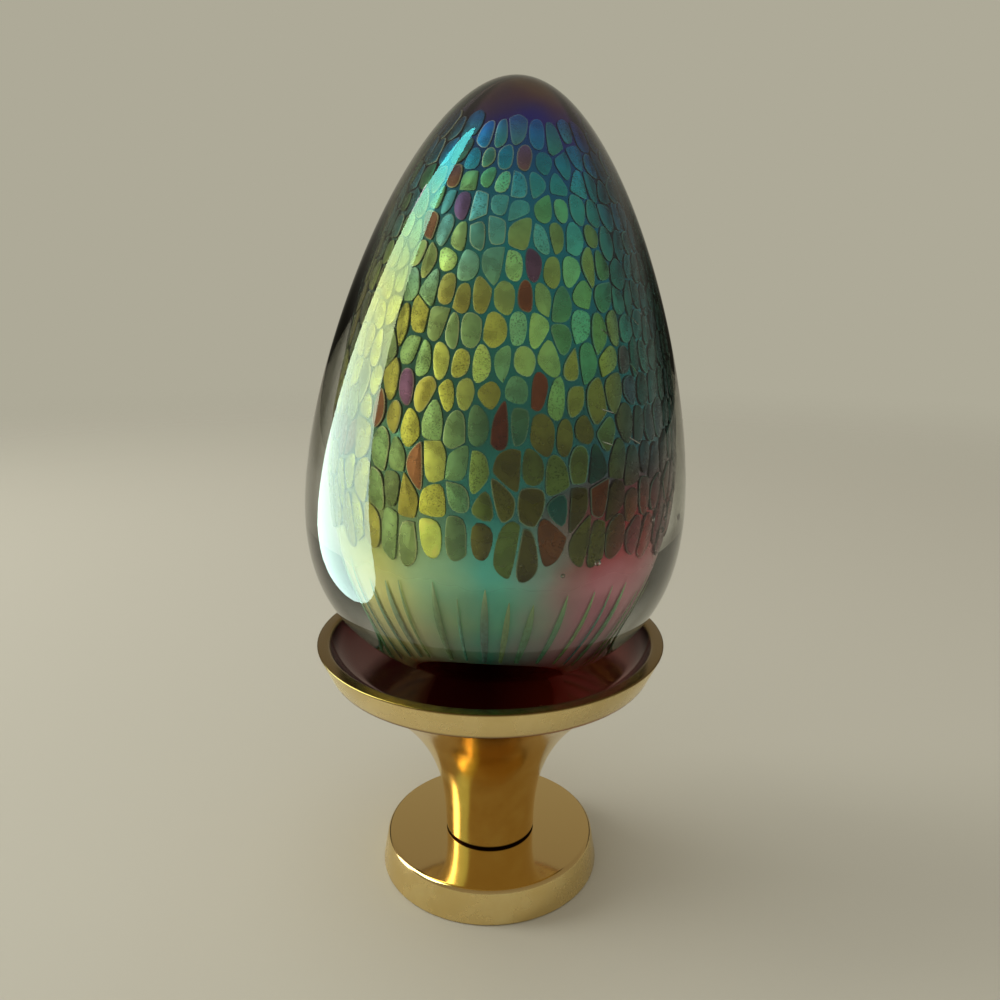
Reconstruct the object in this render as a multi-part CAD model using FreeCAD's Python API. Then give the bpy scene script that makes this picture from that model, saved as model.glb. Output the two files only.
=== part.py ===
import FreeCAD, Part
import math
import os
import random

# Decorative glass egg resting in a turned brass stand.
# Millimetres, +Z up. The origin is the centre of the base's underside.
# The egg leans a little towards +X, as it happens to sit in its dish.

# Stand, base
base_foot_radius = 23.03
base_side_taper = 1.19
base_height = 7.05
base_top_round = 0.8
base_foot_round = 0.5
head_recess = 0.6

# Stand, stem
stem_height = 38.67
stem_foot_radius = 9.40
stem_mouth_step = 0.80
stem_foot_edge = 0.45
stem_early_flare_share = 0.036
stem_flare_power = 2.62

# Stand, dish. Its rim stands off the egg by a clearance.
dish_wall_height = 5.97
dish_egg_clearance = 9.01
dish_rim_width = 2.35
dish_side_taper = 2.82
dish_rim_round = 0.35
dish_lower_round = 0.3
dish_floor_sink = 0.10
dish_floor_curve = 140.0
dish_wall_width = 5.15
dish_wall_bow_share = 0.1155
dish_spigot_shoulder = 12.38
dish_spigot_depth = 3.2
dish_boss_radius = 7.0
dish_boss_length = 9.0

# Stand, tie screw and washer
screw_radius = 2.5
screw_thread_length = 7.5
screw_head_radius = 4.25
screw_head_height = 3.0
screw_slot_width = 1.2
screw_slot_depth = 1.4
washer_margin = 1.25
washer_thickness = 0.8
thread_fit = 0.03
screw_clearance = 0.3
spigot_fit = 0.05
spigot_end_gap = 0.25
tap_end_gap = 1.0

# Egg, clear outer glass. Its outline is an ellipse whose width swells towards the foot.
egg_height = 110.1
egg_ellipse_width = 67.44
low_swell_share = 0.374
even_swell_share = 0.182
foot_swell_share = 0.084
egg_lean = 2.96
egg_shift = 1.9
seat_gap = 0.25

# Egg, inner body. The clear glass round it sets its size.
foot_glass = 9.95
top_glass = 3.6
side_glass = 13.62
ground_offset = 0.69
lustre_thickness = 0.6
lustre_mouth_height = 3.1
core_floor_glass = 0.9
glass_gap = 0.1

# Egg, glass chips laid on the inner body
chip_thickness = 0.5
chip_vein = 0.34
chip_band_foot_margin = 22.6
chip_band_top_margin = 8.0
low_chip_width = 3.7
low_chip_height = 7.4
top_chip_width = 2.5
top_chip_height = 4.6
row_overlap_share = 0.84
turn_jitter_share = 0.28
rise_jitter_share = 0.26
chip_reach_share = 0.68
chip_corner_share = 0.84
neighbour_reach_share = 2.0
chip_seed = 41

# Egg, threads drawn down to the foot
thread_count = 30
thread_foot_margin = 0.5
thread_length = 11.8
thread_length_spread = 3.2
thread_turn = 3.4
thread_turn_spread = 2.0
thread_thickness = 0.4

# How finely formulas are followed, and how far cutting shapes run past
outline_points = 28
flare_points = 14
thread_points = 7
cell_corners = 8
arc_samples = 600
overrun = 1.0

egg_half_height = egg_height / 2
egg_half_width = egg_ellipse_width / 2
ground_half_height = egg_half_height - (foot_glass + top_glass) / 2
ground_half_width = egg_half_width - side_glass
mouth_height = foot_glass + lustre_mouth_height
base_top_radius = base_foot_radius - base_side_taper
dish_under_height = base_height + stem_height
dish_rim_height = dish_under_height + dish_wall_height
dish_floor_height = dish_under_height - dish_floor_sink
washer_radius = screw_head_radius + washer_margin
screw_recess_depth = head_recess + screw_head_height + washer_thickness
dish_boss_bottom = dish_under_height - dish_spigot_depth - dish_boss_length
screw_top = dish_boss_bottom + screw_thread_length


def at(radius, height):
    return FreeCAD.Vector(radius, 0, height)


def turned(edges):
    wire = Part.Wire(edges)
    return Part.Face(wire).revolve(FreeCAD.Vector(0, 0, 0), FreeCAD.Vector(0, 0, 1), 360)


def lines(points):
    return [Part.LineSegment(a, b).toShape() for a, b in zip(points, points[1:])]


def cylinder(radius, low, high):
    return Part.makeCylinder(radius, high - low, at(0, low))


def rounded(shape, radius, places):
    picked = []
    for edge in shape.Edges:
        if edge.Degenerated or edge.Curve.TypeId != "Part::GeomCircle":
            continue
        for place_radius, height in places:
            same_radius = math.isclose(edge.Curve.Radius, place_radius, rel_tol=1e-6)
            same_height = math.isclose(edge.Curve.Center.z, height, rel_tol=1e-6, abs_tol=1e-6)
            if same_radius and same_height:
                picked.append(edge)
    return shape.makeFillet(radius, picked)


# A point of an egg outline: turn 0 is the lowest point and turn pi the highest.
def egg_point(half_height, half_width, foot, turn):
    c = math.cos(turn)
    swell = 1 + low_swell_share * c + even_swell_share * c ** 2 + foot_swell_share * c ** 3
    return half_width * math.sin(turn) * swell, foot + half_height * (1 - c)


def egg_curve(half_height, half_width, foot):
    turns = [math.pi * i / outline_points for i in range(outline_points + 1)]
    points = [at(*egg_point(half_height, half_width, foot, turn)) for turn in turns]
    points[0] = at(0, foot)
    points[-1] = at(0, foot + 2 * half_height)
    curve = Part.BSplineCurve()
    curve.interpolate(Points=points, Parameters=turns)
    return curve.toShape()


def egg_solid(half_height, half_width, foot):
    axis = lines([at(0, foot + 2 * half_height), at(0, foot)])
    return turned([egg_curve(half_height, half_width, foot)] + axis)


# The inner body's outline, moved outwards by a distance.
def inner_sizes(out):
    return ground_half_height + out, ground_half_width + out, foot_glass - out


# An egg outline's radius at a height above the egg's lowest point.
def radius_at(height, half_height, half_width, foot):
    turn = math.acos(1 - (height - foot) / half_height)
    return egg_point(half_height, half_width, foot, turn)[0]


# How far a chip's corner stands off the curved ground: a flat chip touches only in its middle.
def corner_lift(height, chip_width, chip_height):
    turn = math.acos(1 - height / ground_half_height)
    step = math.pi / arc_samples
    below, here, over = [egg_point(*inner_sizes(0), turn + i * step) for i in (-1, 0, 1)]
    slope_r, slope_z = (over[0] - below[0]) / 2, (over[1] - below[1]) / 2
    bend_r, bend_z = over[0] - 2 * here[0] + below[0], over[1] - 2 * here[1] + below[1]
    length = math.hypot(slope_r, slope_z)
    upward_bend = abs(slope_r * bend_z - slope_z * bend_r) / length ** 3
    eastward_bend = slope_z / length / here[0]
    half_width = chip_width * chip_reach_share * chip_corner_share
    half_height = chip_height * chip_reach_share * chip_corner_share
    return (half_width ** 2 * eastward_bend + half_height ** 2 * upward_bend) / 2


def chip_band_top():
    return 2 * ground_half_height - chip_band_top_margin


# The space between the inner body and the clear glass, which the chips and threads fill.
def interlayer():
    low_lift = corner_lift(chip_band_foot_margin, low_chip_width, low_chip_height)
    top_lift = corner_lift(chip_band_top(), top_chip_width, top_chip_height)
    return glass_gap + chip_thickness + max(low_lift, top_lift) + glass_gap


# The dish's inner radius at its rim: the egg's own at that height, and a clearance.
egg_rim_radius = radius_at(dish_rim_height - dish_floor_height, egg_half_height, egg_half_width, 0)
dish_rim_inner_radius = egg_rim_radius + dish_egg_clearance
dish_rim_radius = dish_rim_inner_radius + dish_rim_width
dish_lower_radius = dish_rim_radius - dish_side_taper
dish_floor_edge_radius = dish_rim_inner_radius - dish_wall_width
stem_mouth_radius = dish_lower_radius - stem_mouth_step
dish_spigot_radius = stem_mouth_radius - dish_spigot_shoulder


def above(shape, height):
    reach = egg_height + overrun
    block = Part.makeBox(2 * reach, 2 * reach, reach, FreeCAD.Vector(-reach, -reach, height))
    return shape.common(block)


# Where the egg rests: its round bottom touches the dish's hollow floor, with a small gap.
def egg_placement():
    swell = 1 + low_swell_share + even_swell_share + foot_swell_share
    bottom_curve = (egg_half_width * swell) ** 2 / egg_half_height
    distance = dish_floor_curve - bottom_curve - seat_gap
    centre_height = dish_floor_height + dish_floor_curve - math.sqrt(distance ** 2 - egg_shift ** 2)
    lean = math.radians(egg_lean)
    bottom_x = egg_shift - bottom_curve * math.sin(lean)
    bottom_z = centre_height - bottom_curve * math.cos(lean)
    turn = FreeCAD.Rotation(FreeCAD.Vector(0, 1, 0), egg_lean)
    return FreeCAD.Placement(FreeCAD.Vector(bottom_x, 0, bottom_z), turn)


def seated(shape):
    return shape.transformed(egg_placement().toMatrix())


def in_egg(shape):
    return seated(shape.translated(FreeCAD.Vector(ground_offset, 0, 0)))


# Base: a turned disc, with a recess underneath for the screw head and washer.
def base():
    hole = screw_radius + screw_clearance
    recess = washer_radius + screw_clearance
    outline = [
        at(hole, screw_recess_depth),
        at(recess, screw_recess_depth),
        at(recess, 0),
        at(base_foot_radius, 0),
        at(base_top_radius, base_height),
        at(hole, base_height),
        at(hole, screw_recess_depth),
    ]
    disc = turned(lines(outline))
    disc = rounded(disc, base_top_round, [(base_top_radius, base_height)])
    return rounded(disc, base_foot_round, [(base_foot_radius, 0)])


# Stem: nearly straight at the foot, then a trumpet that opens under the dish.
def stem():
    bore = screw_radius + screw_clearance
    growth = stem_mouth_radius - stem_foot_radius
    low = base_height + stem_foot_edge
    flare = []
    for i in range(flare_points + 1):
        share = i / flare_points
        early = stem_early_flare_share * share
        late = (1 - stem_early_flare_share) * share ** stem_flare_power
        radius = stem_foot_radius + growth * (early + late)
        flare.append(at(radius, low + (dish_under_height - low) * share))
    curve = Part.BSplineCurve()
    curve.interpolate(flare)
    socket = dish_spigot_radius + spigot_fit
    socket_floor = dish_under_height - dish_spigot_depth - spigot_end_gap
    boss_hole = dish_boss_radius + screw_clearance
    boss_floor = dish_boss_bottom - spigot_end_gap
    inside = [
        flare[-1],
        at(socket, dish_under_height),
        at(socket, socket_floor),
        at(boss_hole, socket_floor),
        at(boss_hole, boss_floor),
        at(bore, boss_floor),
        at(bore, base_height),
        at(stem_foot_radius - stem_foot_edge, base_height),
        flare[0],
    ]
    return turned([curve.toShape()] + lines(inside))


# Dish: a shallow hollow floor, a short curved wall and a flat rim, with a tapped boss below.
def dish():
    tap = screw_radius + thread_fit
    tap_top = screw_top + tap_end_gap
    edge_drop = dish_floor_curve - math.sqrt(dish_floor_curve ** 2 - dish_floor_edge_radius ** 2)
    floor_edge = at(dish_floor_edge_radius, dish_floor_height + edge_drop)
    floor_middle_radius = dish_floor_edge_radius / 2
    middle_drop = dish_floor_curve - math.sqrt(dish_floor_curve ** 2 - floor_middle_radius ** 2)
    floor_middle = at(floor_middle_radius, dish_floor_height + middle_drop)
    rim_inside = at(dish_rim_inner_radius, dish_rim_height)
    chord = rim_inside - floor_edge
    outward = FreeCAD.Vector(chord.z, 0, -chord.x).normalize()
    wall_middle = (rim_inside + floor_edge) * 0.5 + outward * chord.Length * dish_wall_bow_share
    spigot_low = dish_under_height - dish_spigot_depth
    outline = [
        at(0, dish_floor_height),
        at(0, tap_top),
        at(tap, tap_top),
        at(tap, dish_boss_bottom),
        at(dish_boss_radius, dish_boss_bottom),
        at(dish_boss_radius, spigot_low),
        at(dish_spigot_radius, spigot_low),
        at(dish_spigot_radius, dish_under_height),
        at(dish_lower_radius, dish_under_height),
        at(dish_rim_radius, dish_rim_height),
        rim_inside,
    ]
    wall = Part.Arc(rim_inside, wall_middle, floor_edge).toShape()
    floor = Part.Arc(floor_edge, floor_middle, at(0, dish_floor_height)).toShape()
    plate = turned(lines(outline) + [wall, floor])
    rim_edges = [(dish_rim_radius, dish_rim_height), (dish_rim_inner_radius, dish_rim_height)]
    plate = rounded(plate, dish_rim_round, rim_edges)
    return rounded(plate, dish_lower_round, [(dish_lower_radius, dish_under_height)])


# Tie screw: a slotted cheese head under the base, its thread in the dish's boss.
def tie_screw():
    head_top = head_recess + screw_head_height
    head = cylinder(screw_head_radius, head_recess, head_top)
    shank = cylinder(screw_radius, head_top, screw_top)
    corner = FreeCAD.Vector(-screw_head_radius, -screw_slot_width / 2, head_recess)
    slot = Part.makeBox(2 * screw_head_radius, screw_slot_width, screw_slot_depth, corner)
    return head.fuse(shank).cut(slot).removeSplitter()


def washer():
    low = head_recess + screw_head_height
    high = low + washer_thickness
    hole = screw_radius + screw_clearance
    return cylinder(washer_radius, low, high).cut(cylinder(hole, low - overrun, high + overrun))


# The core's neck: it runs from inside the lustre layer's mouth down to the clear glass under it.
def neck(out):
    radius = radius_at(mouth_height, *inner_sizes(-lustre_thickness - glass_gap)) + out
    column = cylinder(radius, 0, mouth_height).translated(FreeCAD.Vector(ground_offset, 0, 0))
    floor = core_floor_glass - out
    return column.common(egg_solid(egg_half_height - floor, egg_half_width - floor, floor))


# Clear outer glass, with the closed space that holds the coloured inner body.
def clear_casing():
    outside = egg_solid(egg_half_height, egg_half_width, 0)
    space = above(egg_solid(*inner_sizes(interlayer())), mouth_height - glass_gap)
    space.translate(FreeCAD.Vector(ground_offset, 0, 0))
    return seated(outside.cut(space).cut(neck(glass_gap)))


# Ruby core: dark red glass, open to view only underneath, where its neck shows.
def ruby_core():
    body = above(egg_solid(*inner_sizes(-lustre_thickness - glass_gap)), mouth_height)
    body.translate(FreeCAD.Vector(ground_offset, 0, 0))
    return seated(body.fuse(neck(0)).removeSplitter())


# Lustre layer: the thin silvered skin round the core, open at its foot.
def lustre_ground():
    skin = egg_solid(*inner_sizes(0)).cut(egg_solid(*inner_sizes(-lustre_thickness)))
    return in_egg(above(skin, mouth_height))


# Turns of the inner outline against the length run along it.
def outline_lengths():
    sizes = inner_sizes(0)
    table = [(0.0, 0.0)]
    last = egg_point(*sizes, 0)
    for i in range(1, arc_samples + 1):
        turn = math.pi * i / arc_samples
        point = egg_point(*sizes, turn)
        table.append((turn, table[-1][1] + math.dist(last, point)))
        last = point
    return table


def turn_at_height(table, height):
    sizes = inner_sizes(0)
    for turn, run in table:
        if egg_point(*sizes, turn)[1] >= foot_glass + height:
            return turn, run
    return table[-1]


def turn_at_run(table, run):
    for (turn_a, run_a), (turn_b, run_b) in zip(table, table[1:]):
        if run_b >= run:
            return turn_a + (turn_b - turn_a) * (run - run_a) / (run_b - run_a)
    return table[-1][0]


# A place on the inner body: its point and its eastward, upward and outward directions.
def frame_at(turn, azimuth):
    sizes = inner_sizes(0)
    radius, height = egg_point(*sizes, turn)
    step = math.pi / arc_samples
    radius_up, height_up = egg_point(*sizes, turn + step)
    up_r, up_z = radius_up - radius, height_up - height
    length = math.hypot(up_r, up_z)
    cos_a, sin_a = math.cos(azimuth), math.sin(azimuth)
    point = FreeCAD.Vector(radius * cos_a, radius * sin_a, height)
    east = FreeCAD.Vector(-sin_a, cos_a, 0)
    up = FreeCAD.Vector(up_r * cos_a, up_r * sin_a, up_z) * (1 / length)
    return point, east, up, east.cross(up)


# Chip sites: staggered rows with a little disorder, larger towards the foot.
def chip_sites(rng):
    table = outline_lengths()
    run_low = turn_at_height(table, chip_band_foot_margin)[1]
    run_high = turn_at_height(table, chip_band_top())[1]
    golden_share = (math.sqrt(5) - 1) / 2
    sites = []
    run = run_low
    row = 0
    while run < run_high:
        share = (run - run_low) / (run_high - run_low)
        width = low_chip_width + (top_chip_width - low_chip_width) * share
        height = low_chip_height + (top_chip_height - low_chip_height) * share
        radius = egg_point(*inner_sizes(0), turn_at_run(table, run))[0]
        count = round(2 * math.pi * radius / width)
        for i in range(count):
            turn_jitter = turn_jitter_share * rng.uniform(-1, 1)
            rise_jitter = rise_jitter_share * rng.uniform(-1, 1)
            azimuth = 2 * math.pi * (i + row * golden_share + turn_jitter) / count
            turn = turn_at_run(table, run + rise_jitter * height)
            sites.append((frame_at(turn, azimuth), width, height, share))
        run += height * row_overlap_share
        row += 1
    return sites


# Keeps the side of a flat polygon that lies before a line at a distance along a direction.
def clipped(polygon, direction, distance):
    kept = []
    for a, b in zip(polygon, polygon[1:] + polygon[:1]):
        side_a = a[0] * direction[0] + a[1] * direction[1] - distance
        side_b = b[0] * direction[0] + b[1] * direction[1] - distance
        if side_a <= 0:
            kept.append(a)
        if side_a * side_b < 0:
            t = side_a / (side_a - side_b)
            kept.append((a[0] + (b[0] - a[0]) * t, a[1] + (b[1] - a[1]) * t))
    return kept


# A chip's cell: the ground nearer to its site than to any other, less half a vein all round.
# Nearness is measured in chip widths and heights, so that the cells are as tall as the chips.
def chip_cell(site, sites):
    (point, east, up, out), width, height, share = site
    cell = []
    for i in range(cell_corners):
        angle = 2 * math.pi * i / cell_corners
        cell.append((width * chip_reach_share * math.cos(angle), height * chip_reach_share * math.sin(angle)))
    for other in sites:
        gap = other[0][0] - point
        if gap.Length == 0 or gap.Length > height * neighbour_reach_share:
            continue
        flat = (gap.dot(east), gap.dot(up))
        pull = (flat[0] / width ** 2, flat[1] / height ** 2)
        strength = math.hypot(*pull)
        middle = (flat[0] * pull[0] + flat[1] * pull[1]) / strength / 2
        cell = clipped(cell, (pull[0] / strength, pull[1] / strength), middle - chip_vein / 2)
    return cell


# One flake: a smooth closed outline drawn inside its cell, laid flat on the inner body.
def chip_solid(site, sites):
    point, east, up, out = site[0]
    poles = [point + out * glass_gap + east * a + up * b for a, b in chip_cell(site, sites)]
    outline = Part.BSplineCurve()
    outline.buildFromPoles(poles, True, 2)
    return Part.Face(Part.Wire(outline.toShape())).extrude(out * chip_thickness)


# Which colour a chip has: yellow-greens on the -X side, teals on the +X side and near the top.
def chip_colour(rng, site):
    out, share = site[0][3], site[3]
    right = (1 + out.x) / 2
    colour_shares = {
        "green_chips": 0.50 - 0.25 * right - 0.15 * share,
        "olive_chips": 0.34 - 0.22 * share,
        "teal_chips": 0.10 + 0.30 * right + 0.40 * share,
        "rust_chips": 0.09 - 0.04 * share,
        "plum_chips": 0.07 - 0.05 * share,
    }
    return rng.choices(list(colour_shares), list(colour_shares.values()))[0]


def chip_groups():
    rng = random.Random(chip_seed)
    sites = chip_sites(rng)
    groups = {}
    for site in sites:
        groups.setdefault(chip_colour(rng, site), []).append(chip_solid(site, sites))
    return {name: in_egg(Part.makeCompound(chips)) for name, chips in groups.items()}


# One thread: a narrow strip that follows the inner body up from the lustre layer's mouth.
def thread_solid(top, azimuth, width):
    table = outline_lengths()
    turn_low = turn_at_height(table, lustre_mouth_height + thread_foot_margin)[0]
    turn_high = turn_at_height(table, top)[0]
    sides = []
    for out in (glass_gap, glass_gap + thread_thickness):
        side = []
        for i in range(thread_points):
            turn = turn_low + (turn_high - turn_low) * i / (thread_points - 1)
            radius, height = egg_point(*inner_sizes(out), turn)
            side.append(at(radius, height))
        sides.append(side)
    inner, outer = sides
    edges = []
    for side in (inner, outer[::-1]):
        curve = Part.BSplineCurve()
        curve.interpolate(side)
        edges.append(curve.toShape())
    edges += lines([inner[-1], outer[-1]])
    edges += lines([outer[0], inner[0]])
    section = Part.Face(Part.Wire(Part.__sortEdges__(edges)))
    section.rotate(FreeCAD.Vector(0, 0, 0), FreeCAD.Vector(0, 0, 1), azimuth - width / 2)
    return section.revolve(FreeCAD.Vector(0, 0, 0), FreeCAD.Vector(0, 0, 1), width)


def drawn_threads():
    rng = random.Random(chip_seed)
    threads = []
    for i in range(thread_count):
        length = thread_length - thread_length_spread * rng.random()
        top = lustre_mouth_height + thread_foot_margin + length
        width = thread_turn + thread_turn_spread * rng.uniform(-1, 1)
        azimuth = 360 * (i + turn_jitter_share * rng.uniform(-1, 1)) / thread_count
        threads.append(thread_solid(top, azimuth, width))
    return in_egg(Part.makeCompound(threads))


pieces = {
    "base": base(),
    "stem": stem(),
    "dish": dish(),
    "tie_screw": tie_screw(),
    "washer": washer(),
    "clear_casing": clear_casing(),
    "ruby_core": ruby_core(),
    "lustre_ground": lustre_ground(),
    "drawn_threads": drawn_threads(),
}
pieces.update(chip_groups())

os.makedirs("parts", exist_ok=True)
for name, shape in pieces.items():
    shape.exportStep("parts/" + name + ".step")
    print(name, len(shape.Solids), "solids", round(shape.Volume), "mm3", "valid" if shape.isValid() else "INVALID")
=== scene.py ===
import math
import random

import bmesh
import bpy
from mathutils import Matrix, Vector


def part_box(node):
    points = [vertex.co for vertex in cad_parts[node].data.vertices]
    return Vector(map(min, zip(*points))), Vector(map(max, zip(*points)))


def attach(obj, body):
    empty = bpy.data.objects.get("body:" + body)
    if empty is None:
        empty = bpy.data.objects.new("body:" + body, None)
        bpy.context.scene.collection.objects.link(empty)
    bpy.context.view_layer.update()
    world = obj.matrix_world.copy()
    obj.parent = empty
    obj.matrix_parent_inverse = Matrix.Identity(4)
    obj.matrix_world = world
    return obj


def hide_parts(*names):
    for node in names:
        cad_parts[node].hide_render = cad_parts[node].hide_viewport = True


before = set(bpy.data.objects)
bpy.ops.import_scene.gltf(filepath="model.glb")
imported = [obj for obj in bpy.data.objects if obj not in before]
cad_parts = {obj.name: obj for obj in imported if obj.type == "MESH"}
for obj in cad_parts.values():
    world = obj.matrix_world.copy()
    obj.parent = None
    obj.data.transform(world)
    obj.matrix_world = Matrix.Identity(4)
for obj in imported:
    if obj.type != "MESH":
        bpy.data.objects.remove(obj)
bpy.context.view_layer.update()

mm = 0.001  # the outlines below are drawn in millimetres and placed in metres


# Small tools


def srgb(hexColour):
    parts = [int(hexColour[i:i + 2], 16) / 255 for i in (1, 3, 5)]
    return tuple(p / 12.92 if p <= 0.04045 else ((p + 0.055) / 1.055) ** 2.4 for p in parts) + (1.0,)


def perMm(size):  # the scale of a pattern whose features are this many millimetres across
    return 1 / (size * mm)


def between(start, end):  # where a Map Range node begins to rise from 0 and where it reaches 1
    return {"From Min": start, "From Max": end}


noiseReach = between(0.3, 0.7)  # nearly all of a noise lies between these


def socketOf(sockets, key):
    usable = [socket for socket in sockets if not socket.is_unavailable]
    if isinstance(key, int):
        return usable[key]
    return next(socket for socket in usable if key in (socket.identifier, socket.name))


# A value that is another node's socket is linked, the others are set
def addNode(tree, kind, values=None, output=0):
    node = tree.nodes.new("ShaderNode" + kind)
    for key, value in (values or {}).items():
        if key == "stops":
            ramp = node.color_ramp
            while len(ramp.elements) < len(value):
                ramp.elements.new(0.5)
            for element, (position, colour) in zip(ramp.elements, value):
                element.position = position
                element.color = srgb(colour) if isinstance(colour, str) else colour
        elif isinstance(key, str) and hasattr(node, key):
            setattr(node, key, value)
        elif isinstance(value, bpy.types.NodeSocket):
            tree.links.new(value, socketOf(node.inputs, key))
        else:
            socketOf(node.inputs, key).default_value = value
    return socketOf(node.outputs, output)


def startMaterial(name):
    material = bpy.data.materials.new(name)
    material.use_nodes = True
    tree = material.node_tree
    return material, tree, tree.nodes["Principled BSDF"]


def setShader(shader, **values):
    for key, value in values.items():
        socket = shader.inputs[key.replace("_", " ")]
        if isinstance(value, bpy.types.NodeSocket):
            shader.id_data.links.new(value, socket)
        else:
            socket.default_value = value


def showSurface(tree, surface):
    tree.links.new(surface, tree.nodes["Material Output"].inputs["Surface"])


def meshObject(name, bm, material):
    mesh = bpy.data.meshes.new(name)
    bm.to_mesh(mesh)
    bm.free()
    mesh.materials.append(material)
    made = bpy.data.objects.new(name, mesh)
    bpy.context.scene.collection.objects.link(made)
    return made


def makePiece(name, bm, body, material, place, replaced=(), crease=35):
    bmesh.ops.transform(bm, matrix=place, verts=bm.verts)
    piece = meshObject(name, bm, material)
    piece.data.shade_smooth()
    piece.data.set_sharp_from_angle(angle=math.radians(crease))
    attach(piece, body)
    if replaced:
        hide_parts(*replaced)
    return piece


def spun(outline, steps, closed=False):
    bm = bmesh.new()
    verts = [bm.verts.new((radius, 0, height)) for radius, height in outline]
    pairs = list(zip(verts, verts[1:])) + ([(verts[-1], verts[0])] if closed else [])
    edges = [bm.edges.new(pair) for pair in pairs]
    bmesh.ops.spin(
        bm, geom=verts + edges, cent=(0, 0, 0), axis=(0, 0, 1), angle=2 * math.pi, steps=steps, use_merge=True
    )
    bmesh.ops.remove_doubles(bm, verts=bm.verts, dist=1e-4)
    bmesh.ops.recalc_face_normals(bm, faces=bm.faces)
    return bm


def roundRing(bm, radius, height, size, segments=4):
    def onRing(vert):
        across = math.hypot(vert.co.x, vert.co.y)
        return math.isclose(across, radius, abs_tol=0.01) and abs(vert.co.z - height) < 0.01

    ring = [edge for edge in bm.edges if all(onRing(vert) for vert in edge.verts)]
    bmesh.ops.bevel(
        bm, geom=ring, offset=size, offset_type="OFFSET", affect="EDGES", segments=segments, profile=0.5,
        material=-1, clamp_overlap=False,
    )


# Outlines that the egg's pieces share

eggSizes = {
    "height": 110.1,
    "ellipseWidth": 67.44,
    "lowSwell": 0.374,
    "evenSwell": 0.182,
    "footSwell": 0.084,
    "lean": 2.96,  # degrees, towards +X
    "shift": 1.9,  # where its round bottom touches the dish, off the stand's axis
    "footGlass": 9.95,  # clear glass under, over and beside the coloured body
    "topGlass": 3.6,
    "sideGlass": 13.62,
    "bodyOffset": 0.69,
}


def eggPoint(halfHeight, halfWidth, foot, turn):
    c = math.cos(turn)
    swell = 1 + eggSizes["lowSwell"] * c + eggSizes["evenSwell"] * c ** 2 + eggSizes["footSwell"] * c ** 3
    return halfWidth * math.sin(turn) * swell, foot + halfHeight * (1 - c)


def bodySizes(out=0):
    halfHeight = (eggSizes["height"] - eggSizes["footGlass"] - eggSizes["topGlass"]) / 2 + out
    halfWidth = eggSizes["ellipseWidth"] / 2 - eggSizes["sideGlass"] + out
    return halfHeight, halfWidth, eggSizes["footGlass"] - out


def eggBottom():  # the egg's own lowest point, which its lean carries a little off its box's lowest corner
    swell = 1 + eggSizes["lowSwell"] + eggSizes["evenSwell"] + eggSizes["footSwell"]
    curve = (eggSizes["ellipseWidth"] / 2 * swell) ** 2 / (eggSizes["height"] / 2)
    lean = math.radians(eggSizes["lean"])
    rise = curve * (1 - math.cos(lean)) * mm
    return (eggSizes["shift"] - curve * math.sin(lean)) * mm, 0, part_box("clear_casing")[0].z + rise


eggPlace = (
    Matrix.Translation(eggBottom())
    @ Matrix.Rotation(math.radians(eggSizes["lean"]), 4, "Y")
    @ Matrix.Scale(mm, 4)
)
bodyPlace = eggPlace @ Matrix.Translation((eggSizes["bodyOffset"], 0, 0))
standPlace = Matrix.Scale(mm, 4)


def arcFrom(turnLow, turnHigh, count, sizes):
    return [eggPoint(*sizes, turnLow + (turnHigh - turnLow) * i / count) for i in range(count + 1)]


def turnAtHeight(height, sizes):
    return math.acos(1 - (height - sizes[2]) / sizes[0])


# Light shared by the glasses: lamps reach what lies inside clear glass

def letLampsThrough(tree, shader, tint):
    rays = addNode(tree, "LightPath").node.outputs
    either = addNode(tree, "Math", {
        "operation": "MAXIMUM", 0: rays["Is Shadow Ray"], 1: rays["Is Diffuse Ray"]
    })
    clear = addNode(tree, "BsdfTransparent", {"Color": srgb(tint)})
    showSurface(tree, addNode(tree, "MixShader", {0: either, 1: shader.outputs["BSDF"], 2: clear}))


# Height runs from 0 at the coloured body's foot to 1 at its top, side from 0 where it faces -X to 1 where it
# faces +X. A slow swirl of so many millimetres bends both.
def heightAndSide(tree, wobble):
    place = addNode(tree, "Mapping", {
        "vector_type": "TEXTURE", "Vector": addNode(tree, "TexCoord", output="Object"),
        "Location": bodyPlace.translation, "Rotation": (0, math.radians(eggSizes["lean"]), 0),
    })
    swirl = addNode(tree, "TexNoise", {"Vector": place, "Scale": perMm(lustre["swirlMm"])}, "Color")
    centred = addNode(tree, "VectorMath", {"operation": "SUBTRACT", 0: swirl, 1: (0.5, 0.5, 0.5)})
    moved = addNode(tree, "VectorMath", {
        "operation": "MULTIPLY_ADD", 0: centred, 1: (wobble * mm,) * 3, 2: place
    })
    halfHeight, _, foot = bodySizes()
    height = addNode(tree, "MapRange", {
        "Value": addNode(tree, "SeparateXYZ", {"Vector": moved}, "Z"),
        **between(foot * mm, (foot + 2 * halfHeight) * mm),
    })
    level = addNode(tree, "VectorMath", {"operation": "MULTIPLY", 0: moved, 1: (1, 1, 0)})
    outward = addNode(tree, "VectorMath", {"operation": "NORMALIZE", 0: level})
    sideways = addNode(tree, "SeparateXYZ", {"Vector": outward}, "X")
    return place, height, addNode(tree, "MapRange", {"Value": sideways, "From Min": -1.0})


def bandsAround(tree, height, side):
    # three ladders of colour up the body, blended round it
    left, front, right = [
        addNode(tree, "ValToRGB", {"stops": lustre[bands], "Fac": height})
        for bands in ("leftBands", "frontBands", "rightBands")
    ]
    colour = left
    for ladder, reach in ((front, lustre["toFront"]), (right, lustre["toRight"])):
        share = addNode(tree, "MapRange", {"Value": side, **between(*reach)})
        colour = addNode(tree, "Mix", {"data_type": "RGBA", "Factor": share, "A": colour, "B": ladder})
    return colour


# Clear casing: cased soda-lime glass, fire polished. Clear and bright, faintly grey-green in its depth, with
# a painted dark reflection darkening it towards its edge.

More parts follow.
